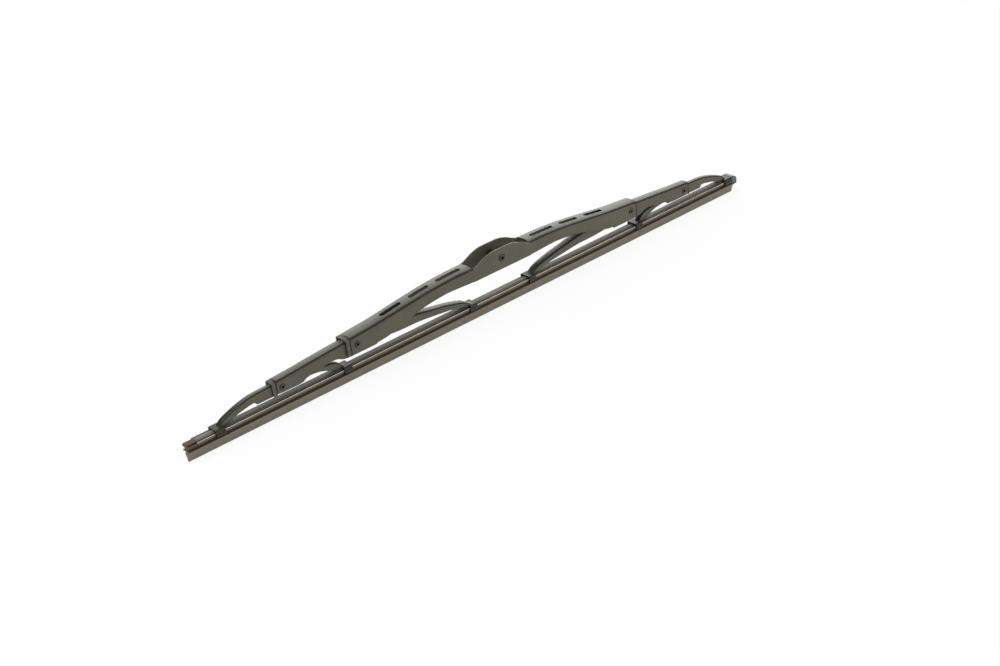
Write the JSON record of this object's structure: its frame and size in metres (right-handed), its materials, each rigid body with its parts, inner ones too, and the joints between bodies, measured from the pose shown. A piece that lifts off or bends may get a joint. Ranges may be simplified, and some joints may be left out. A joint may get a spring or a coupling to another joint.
{
  "type": "windscreen wiper blade",
  "caption": "Framed windscreen wiper blade: riveted pressed steel bridges and yokes that press a flexible rubber strip with spring rails against the glass.",
  "frame": {"origin": "middle of the arm pin, between the two ears", "axes": "+X along the blade towards the capped end, +Y along the arm pin, +Z away from the glass"},
  "size_m": [0.5013, 0.0161, 0.0479],
  "materials": {
    "pressed_steel": "satin black paint, worn grey by weather",
    "rivet_steel": "dull plated steel",
    "liner_plastic": "matte black moulded",
    "rubber": "matte extruded rubber",
    "rail_steel": "rolled spring steel strip",
    "cap_plastic": "matte blue-grey moulded"
  },
  "bodies": {
    "main_frame": {"primary_bridge": "pressed_steel", "arm_pin": "rivet_steel", "inner_liner_left": "liner_plastic", "inner_liner_right": "liner_plastic", "inner_rivet_left": "rivet_steel", "inner_rivet_right": "rivet_steel", "wiping_rubber": "rubber", "front_rail": "rail_steel", "rear_rail": "rail_steel"},
    "secondary_left": {"secondary_bridge_left": "pressed_steel", "outer_liner_left": "liner_plastic", "outer_rivet_left": "rivet_steel"},
    "secondary_right": {"secondary_bridge_right": "pressed_steel", "outer_liner_right": "liner_plastic", "outer_rivet_right": "rivet_steel"},
    "tertiary_left": {"tertiary_yoke_left": "pressed_steel"},
    "tertiary_right": {"tertiary_yoke_right": "pressed_steel", "end_cap": "cap_plastic"}
  },
  "joints": [
    {"name": "inner_pivot_left", "type": "hinge", "parent": "main_frame", "child": "secondary_left", "pos_m": [-0.1265, 0, -0.0125], "axis": [0, -1, 0], "range_deg": [-4, 4], "stiffness_Nm_per_rad": 1.5, "deforming": ["wiping_rubber", "front_rail", "rear_rail"]},
    {"name": "inner_pivot_right", "type": "hinge", "parent": "main_frame", "child": "secondary_right", "pos_m": [0.1265, 0, -0.0125], "axis": [0, 1, 0], "range_deg": [-4, 4], "stiffness_Nm_per_rad": 1.5, "deforming": ["wiping_rubber", "front_rail", "rear_rail"]},
    {"name": "outer_pivot_left", "type": "hinge", "parent": "secondary_left", "child": "tertiary_left", "pos_m": [-0.1855, 0, -0.0182], "axis": [0, -1, 0], "range_deg": [-3, 3], "stiffness_Nm_per_rad": 1, "deforming": ["wiping_rubber", "front_rail", "rear_rail"]},
    {"name": "outer_pivot_right", "type": "hinge", "parent": "secondary_right", "child": "tertiary_right", "pos_m": [0.1855, 0, -0.0182], "axis": [0, 1, 0], "range_deg": [-3, 3], "stiffness_Nm_per_rad": 1, "deforming": ["wiping_rubber", "front_rail", "rear_rail"]}
  ]
}
